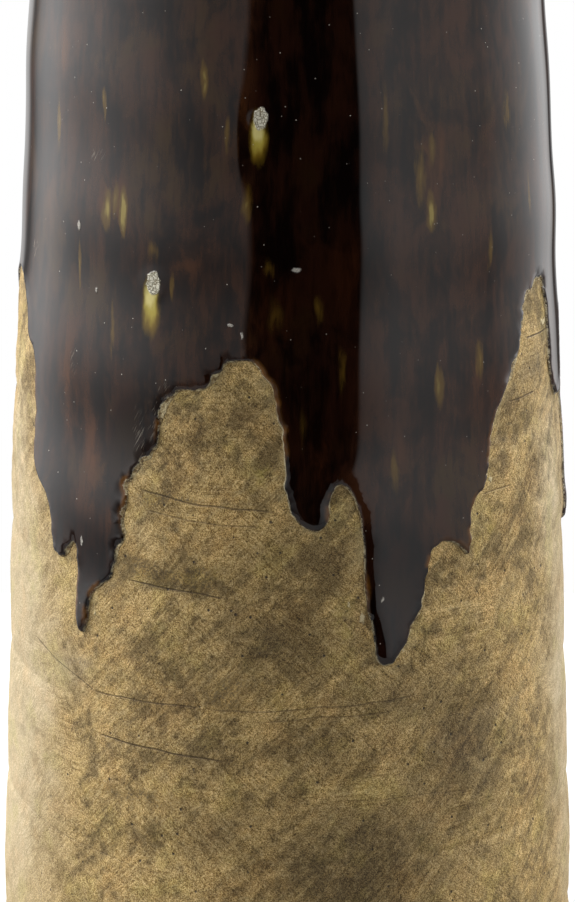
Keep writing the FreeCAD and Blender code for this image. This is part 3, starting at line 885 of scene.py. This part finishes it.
def scored_lines(s, at):
    """A mask of the fine lines scored round the clay."""
    x, y, height = s.split(at)
    turn = s.math("ARCTAN2", x, s.times(y, -1.0))
    waver = s.total((s.noise(at, 30, 2), 0.004), (0.5, -0.004))
    level = s.math("ADD", height, waver)
    found = 0.0
    for start, low, end, high, strength in SCORES:
        middle, half = math.radians((start + end) / 2), math.radians(end - start) / 2
        slope = (high - low) * MM / (2 * half)
        middle = (middle + math.pi) % (2 * math.pi) - math.pi
        around = s.math("WRAP", s.math("SUBTRACT", turn, middle), math.pi, -math.pi)
        line = s.math("MULTIPLY_ADD", around, slope, (low + high) / 2 * MM)
        across = s.share(s.math("ABSOLUTE", s.math("SUBTRACT", level, line)), 0.0005, 0.0001)
        along = s.share(s.math("ABSOLUTE", around), half, half * 0.75, 0.0, strength)
        found = s.larger(found, s.times(across, along))
    return found


def clay_material():
    """Bare clay: its grain and strokes, its stained stretches, its pale ones (partly painted sheen), and
    marks.
    """
    s = Nodes(bpy.data.materials.new("bare_stoneware"))
    at = s.place()
    loose = s.warped(at, 60, 0.006)
    speck = s.noise(at, 2500, 1, 0.5)
    grain = s.noise(at, 1250, 2, 0.6)
    sand = s.noise(at, 560, 3, 0.7)
    mottle = s.noise(at, 190, 3, 0.6, 0.4)
    clouds = s.noise(at, 42, 6, 0.62, 0.5)
    falling = s.streaks(s.twist(at, 9), (900, 900, 120), 3, 0.7)
    rising = s.streaks(s.twist(at, -8), (900, 900, 120), 3, 0.7)
    rings = s.streaks(at, (40, 40, 900), 3, 0.7)
    ways = s.share(s.noise(s.stretch(at, (1, 1, 1), (2, 5, 1)), 24, 2), 0.42, 0.58)
    strokes = s.mix(ways, falling, rising)
    strokes = s.mix(s.share(s.noise(at, 30, 2), 0.52, 0.66), strokes, rings)
    # Pale clay in places, and a painted sheen where the sides turn away.
    pale_and_sheen = s.share(s.total((s.spots(loose, PALE_AND_SHEEN_SPOTS), 1.0), (clouds, 0.7), (mottle, 0.3)), 0.56, 1.35)
    calm = s.share(s.total((s.spots(loose, CALMS), 1.0), (clouds, 0.5)), 0.35, 0.85)
    stain = s.share(s.total((clouds, 1.0), (mottle, 0.25), (s.spots(loose, STAINS), 0.48)), 0.70, 1.06)
    wipes = s.streaks(s.twist(at, -9), (150, 150, 34), 4, 0.65)
    fine = s.total((speck, 0.90), (grain, 0.50), (sand, 0.42), (strokes, 0.60), (1.0, -0.71))
    base = s.ramp(fine, [
        (0.20, colour(88, 64, 19)), (0.40, colour(147, 120, 68)), (0.50, colour(175, 146, 91)),
        (0.60, colour(197, 169, 112)), (0.80, colour(227, 201, 148)),
    ])
    # The pale colour: partly the clay's own, partly a painted sheen.
    pale = s.ramp(fine, [
        (0.10, colour(158, 138, 98)), (0.50, colour(198, 179, 142)), (0.90, colour(226, 209, 176)),
    ])
    base = s.mix(s.times(pale_and_sheen, 0.9), base, pale)
    shade = s.total((mottle, 0.95), (clouds, 1.25), (wipes, 0.75), (stain, -0.22), (1.0, -0.955))
    shade = s.ramp(shade, [
        (0.30, (0.46, 0.45, 0.43, 1)), (0.50, (0.88, 0.88, 0.88, 1)), (0.70, (1.2, 1.19, 1.17, 1)),
    ])
    shade = s.mix(s.times(calm, 0.7), shade, (0.91, 0.91, 0.91, 1))
    base = s.tinted(base, shade)
    pink, olive, smoke = (1.03, 0.985, 0.95, 1), (0.98, 1.01, 0.89, 1), (0.69, 0.69, 0.70, 1)
    tint = s.noise(s.stretch(at, (1, 1, 1), (7, 2, 3)), 55, 4, 0.6)
    base = s.mix(s.share(tint, 0.52, 0.66), base, s.tinted(base, pink))
    base = s.mix(s.share(tint, 0.48, 0.34), base, s.tinted(base, olive))
    base = s.mix(s.share(stain, 0.0, 1.0), base, s.tinted(base, smoke))
    blooms = s.times(s.spots(loose, BLOOMS), s.share(mottle, 0.4, 0.6))
    halo = s.times(s.attribute("halo"), s.share(s.noise(at, 110, 4, 0.7), 0.44, 0.66))
    base = s.mix(s.times(halo, 0.45), base, colour(204, 186, 138))
    base = s.mix(s.times(blooms, 0.6), base, colour(176, 164, 74))
    scored = scored_lines(s, at)
    base = s.mix(s.times(scored, 0.75), base, colour(70, 52, 26))
    ticks = s.share(s.total((grain, 1.0), (sand, 0.4)), 0.66, 0.80)
    chatter = s.times(s.share(s.spots(loose, CHATTER), 0.0, 0.5), ticks)
    base = s.mix(s.times(chatter, 0.75), base, colour(62, 48, 26))
    pits = s.times(s.dots(at, 130, 0.0007), s.share(pale_and_sheen, 0.0, 1.0, 0.9, 0.2))
    base = s.mix(pits, base, colour(48, 38, 26))
    crumbs = s.share(s.spots(s.warped(at, 420, 0.0012), CRUMBS), 0.1, 0.5)
    base = s.mix(s.times(crumbs, 0.8), base, colour(222, 206, 164))
    height = s.total((sand, 0.5), (grain, 0.35), (strokes, 0.3), (mottle, 0.35), (scored, -0.5),
                     (pits, -0.6), (crumbs, 0.8))
    return s.finish({"Base Color": base, "Roughness": s.share(clouds, 0.3, 0.7, 0.75, 0.55),
                     "Specular IOR Level": 0.4, "Normal": s.bump(height, 1.0, 0.0005)})


def glaze_material():
    """The dark coat: mottled brown, with amber, blisters, chips and scuffs, and a dry crust below."""
    s = Nodes(bpy.data.materials.new("tortoise_glaze"))
    at = s.place()
    edge = s.attribute("edge")
    loose = s.warped(s.stretch(at, (1, 1, 0.4)), 260, 0.0012)
    loose = s.stretch(loose, (1, 1, 2.5))
    drift = s.warped(at, 30, 0.006)
    streaks = s.streaks(at, (110, 110, 20), 4, 0.65, 0.5)
    fine = s.streaks(at, (420, 420, 50), 3, 0.6, 0.3)
    clouds = s.streaks(drift, (70, 70, 36), 5, 0.62, 0.4)
    veil = s.noise(s.stretch(at, (1, 1, 1), (3, 1, 6)), 26, 4, 0.6)
    black, brown = (0.0060, 0.0018, 0.0010, 1), (0.046, 0.0165, 0.0070, 1)
    russet, olive = (0.105, 0.036, 0.0100, 1), (0.042, 0.022, 0.0056, 1)
    amber, straw = (0.105, 0.058, 0.0085, 1), (0.30, 0.225, 0.055, 1)
    body = s.total((clouds, 0.6), (streaks, 0.35), (fine, 0.25), (1.0, -0.10))
    dark = s.share(s.spots(at, DARKS), 0.0, 0.3)
    base = s.mix(s.share(body, 0.40, 0.62), black, brown)
    base = s.mix(s.times(s.share(veil, 0.50, 0.68), s.share(body, 0.40, 0.62)), base, olive)
    rust = s.times(s.share(s.spots(drift, RUSSETS), 0.0, 0.8), s.share(clouds, 0.36, 0.58, 0.2, 1.0))
    base = s.mix(s.times(rust, s.share(streaks, 0.34, 0.58, 0.3, 1.0)), base, russet)
    base = s.mix(s.times(dark, 0.85), base, s.tinted(base, (0.25, 0.16, 0.15, 1)))
    slivers = s.times(s.spots(loose, SLIVERS), s.share(fine, 0.34, 0.56, 0.55, 1.15))
    base = s.mix(s.share(slivers, 0.02, 0.45), base, amber)
    base = s.mix(s.share(slivers, 0.45, 1.05), base, straw)
    for reach, wide, tail in TAILS:
        trails = [(angle - 0.5, up - 2.0 * reach * size, wide * size, 3.6 * reach * size, 1.1)
                  for angle, up, size in BURSTS]
        base = s.mix(s.share(s.spots(loose, trails), 0.0, 0.7), base, tail)
    cores = [(angle, up + 0.2 * size, 1.05 * size, 1.6 * size, 1.0) for angle, up, size in BURSTS]
    cores = s.spots(s.warped(at, 420, 0.0010), cores)
    cracks = s.add("TexVoronoi", {"Vector": s.warped(at, 500, 0.0006), "Scale": 720.0}, "Distance",
                   feature="DISTANCE_TO_EDGE")
    cored = s.share(cores, 0.10, 0.28)
    white = s.mix(s.share(cracks, 0.0, 0.12), colour(136, 124, 92), colour(230, 225, 204))
    base = s.mix(cored, base, white)
    chips = s.share(s.spots(s.warped(at, 500, 0.0008), CHIPS), 0.05, 0.45)
    dust = s.times(s.dots(at, 230, 0.0003), s.share(s.noise(at, 120, 2), 0.42, 0.68, 0.0, 0.9))
    base = s.mix(s.larger(s.times(chips, 0.8), dust), base, colour(206, 200, 188))
    lines = s.streaks(s.twist(at, -5), (1300, 1300, 190), 2, 0.5)
    scuffs = s.times(s.share(lines, 0.55, 0.66), s.share(s.spots(loose, SCUFFS), 0.1, 0.8, 0, 0.4))
    base = s.mix(scuffs, base, colour(176, 168, 152))
    patch = s.noise(at, 120, 3, 0.6)
    glows = s.larger(s.spots(loose, GLOWS), s.share(s.noise(at, 34, 3), 0.56, 0.70, 0.0, 0.6))
    glow = s.times(s.share(edge, 2.8, 0.4), s.share(glows, 0.0, 0.5))
    base = s.mix(s.times(glow, s.share(patch, 0.34, 0.56, 0.4, 1.0)), base, (0.16, 0.066, 0.012, 1))
    # The rim: a pale line at the glaze's edge, partly dry edge and partly painted highlight.
    broken = s.share(s.noise(at, 420, 3, 0.7), 0.42, 0.58)
    rim = s.larger(s.times(broken, s.share(patch, 0.36, 0.54)),
                 s.share(s.spots(at, RIMS_AND_HIGHLIGHTS), 0.0, 0.5, 0.0, 0.8))
    rim = s.times(s.share(edge, 0.6, 0.15), rim)
    base = s.mix(s.times(rim, 0.9), base, colour(204, 190, 152))
    crumbs = s.ramp(s.noise(at, 520, 3, 0.7), [
        (0.34, colour(80, 62, 34)), (0.46, colour(150, 126, 82)), (0.60, colour(214, 196, 150)),
    ])
    crust = s.share(edge, 0.12, -0.08)
    base = s.mix(crust, base, crumbs)
    dry = s.larger(s.larger(crust, s.times(rim, 0.8)),
                 s.larger(s.times(cored, 0.85), chips))
    height = s.times(s.total((s.noise(at, 900, 3, 0.7), 0.7), (s.share(cracks, 0.0, 0.2), 0.6)), dry)
    return s.finish({"Base Color": base, "Roughness": s.share(dry, 0.0, 1.0, 0.045, 0.62),
                     "IOR": 1.52, "Normal": s.bump(height, 1.0, 0.0005)})


def liner_material():
    """The plainer coat inside."""
    s = Nodes(bpy.data.materials.new("liner_glaze"))
    at = s.place()
    runs = s.streaks(at, (60, 60, 12), 4, 0.6, 0.4)
    base = s.mix(s.share(runs, 0.4, 0.7), (0.012, 0.005, 0.003, 1), (0.06, 0.022, 0.008, 1))
    dimples = s.noise(at, 240, 3, 0.6)
    return s.finish({"Base Color": base, "Roughness": s.share(dimples, 0.3, 0.7, 0.08, 0.2),
                     "IOR": 1.5, "Normal": s.bump(dimples, 0.4, 0.0004)})


# ---- Camera, floor and light

CAMERA_TARGET = Vector((0, 0, 0.205))
CAMERA_DISTANCE = 1.2
CAMERA_PITCH = math.radians(14.4)    # how far it looks down
FOCAL_LENGTH = 119.73
SENSOR_WIDTH = 36


def camera():
    lens = bpy.data.cameras.new("camera")
    eye = bpy.data.objects.new("camera", lens)
    bpy.context.scene.collection.objects.link(eye)
    bpy.context.scene.camera = eye
    back = Vector((0, -math.cos(CAMERA_PITCH), math.sin(CAMERA_PITCH)))
    eye.location = CAMERA_TARGET + back * CAMERA_DISTANCE
    eye.rotation_euler = (math.pi / 2 - CAMERA_PITCH, 0, 0)
    lens.lens = FOCAL_LENGTH
    lens.sensor_width = SENSOR_WIDTH
    lens.clip_start, lens.clip_end = 0.05, 50


# The studio's panels stand round the vase at its own height: (azimuth from the front, brightness).
PANELS = [
    (-180, 0.6), (-165, 0.9), (-158, 0.9), (-153, 0.4), (-150, 0.22), (-146, 0.28), (-143, 0.50),
    (-138, 1.05), (-130, 1.7), (-121, 2.1), (-105, 2.1), (-87, 1.85), (-70, 1.28), (-54, 0.74),
    (-44, 0.56), (-34, 0.41), (-17.2, 0.38), (-16.6, 0.01), (29, 0.01), (29.6, 0.62), (44, 0.8),
    (73, 0.70), (93, 0.62), (109, 0.93), (124, 1.3), (140, 1.75), (150, 1.5), (156, 0.8),
    (158.5, 0.1), (163, 0.1), (167, 0.5), (180, 0.6),
]
# Two banks of lamps stand above them, behind the vase's sides.
BANKS = [
    (-180, 1.0), (-150, 3.0), (-135, 6.4), (-85, 7.0), (-62, 1.5), (-35, 0.25), (0, 0.12), (40, 0.25),
    (66, 1.2), (88, 5.0), (130, 5.0), (150, 2.0), (180, 1.0),
]
OVERHEAD = 0.25
UNDERNEATH = 0.15
# How far up each one starts and where it is in full, as the height of a direction of length 1.
BANKS_RISE = (0.20, 0.32)
OVERHEAD_RISE = (0.72, 0.86)
UNDERNEATH_RISE = (-0.34, -0.5)
FEET_RISE = (-0.40, 0.04)
# The panels' brightness near the floor, over that at their top: (azimuth from the front, share).
PANEL_FEET = [
    (-180, 0.35), (-122, 0.45), (-110, 0.25), (-98, 0.02), (-62, 0.06), (-42, 0.30), (26, 0.40),
    (44, 0.68), (74, 0.66), (92, 0.25), (112, 0.35), (180, 0.35),
]


def grey(level):
    return (level,) * 3 + (1,)


def studio():
    """A white studio with panels of light round the vase and a dark gap where the camera stands."""
    world = bpy.data.worlds.new("studio")
    bpy.context.scene.world = world
    s = Nodes(world)
    s.tree.nodes.clear()
    brightest = max(level for _, level in PANELS + BANKS)
    x, y, rise = s.split(s.add("TexCoord", {}, "Generated"))
    turn = s.math("ARCTAN2", x, s.times(y, -1.0))
    turn = s.add("MapRange", {"Value": turn, "From Min": -math.pi, "From Max": math.pi})

    def ring(levels, top):
        return s.ramp(turn, [(azimuth / 360 + 0.5, grey(level / top)) for azimuth, level in levels])

    fade = s.mix(s.share(rise, *FEET_RISE), ring(PANEL_FEET, 1), grey(1))
    panels = s.tinted(ring(PANELS, brightest), fade)
    lit = s.mix(s.share(rise, *BANKS_RISE), panels, ring(BANKS, brightest))
    lit = s.mix(s.share(rise, *OVERHEAD_RISE), lit, grey(OVERHEAD / brightest))
    lit = s.mix(s.share(rise, *UNDERNEATH_RISE), lit, grey(UNDERNEATH / brightest))
    light = s.add("Background", {"Color": lit, "Strength": brightest})
    plain = s.add("Background", {"Color": grey(1), "Strength": 1.0})
    seen = s.add("LightPath", {}, "Is Camera Ray")
    both = s.add("MixShader", {0: seen, 1: light, 2: plain})
    s.set(s.tree.nodes.new("ShaderNodeOutputWorld"), {"Surface": both})
    bpy.context.scene.view_settings.view_transform = "Standard"


FLOOR_RADIUS = 0.5
FLOOR_GREY = 0.25
FLOOR_DROP = 0.0002              # the floor lies this far under the foot
FLOOR_GLOW = 0.8


def floor():
    """A pale floor, which glows for the camera alone, so that it casts little light on the clay."""
    mesh = bpy.data.meshes.new("floor")
    turns = np.linspace(0, 2 * math.pi, 128, endpoint=False)
    rim = [(FLOOR_RADIUS * math.cos(turn), FLOOR_RADIUS * math.sin(turn), -FLOOR_DROP) for turn in turns]
    mesh.from_pydata(rim, [], [list(range(len(rim)))])
    disc = bpy.data.objects.new("floor", mesh)
    bpy.context.scene.collection.objects.link(disc)
    s = Nodes(bpy.data.materials.new("pale_floor"))
    glow = s.times(s.add("LightPath", {}, "Is Camera Ray"), FLOOR_GLOW)
    mesh.materials.append(s.finish({
        "Base Color": grey(FLOOR_GREY), "Roughness": 0.9,
        "Emission Color": grey(1), "Emission Strength": glow,
    }))


# ---- The whole scene

camera()
studio()
floor()
stoneware = clay_material()
base_slab(stoneware)
clay_rings(stoneware)
outer_glaze(glaze_material())
inner_glaze(liner_material())
bpy.context.view_layer.update()
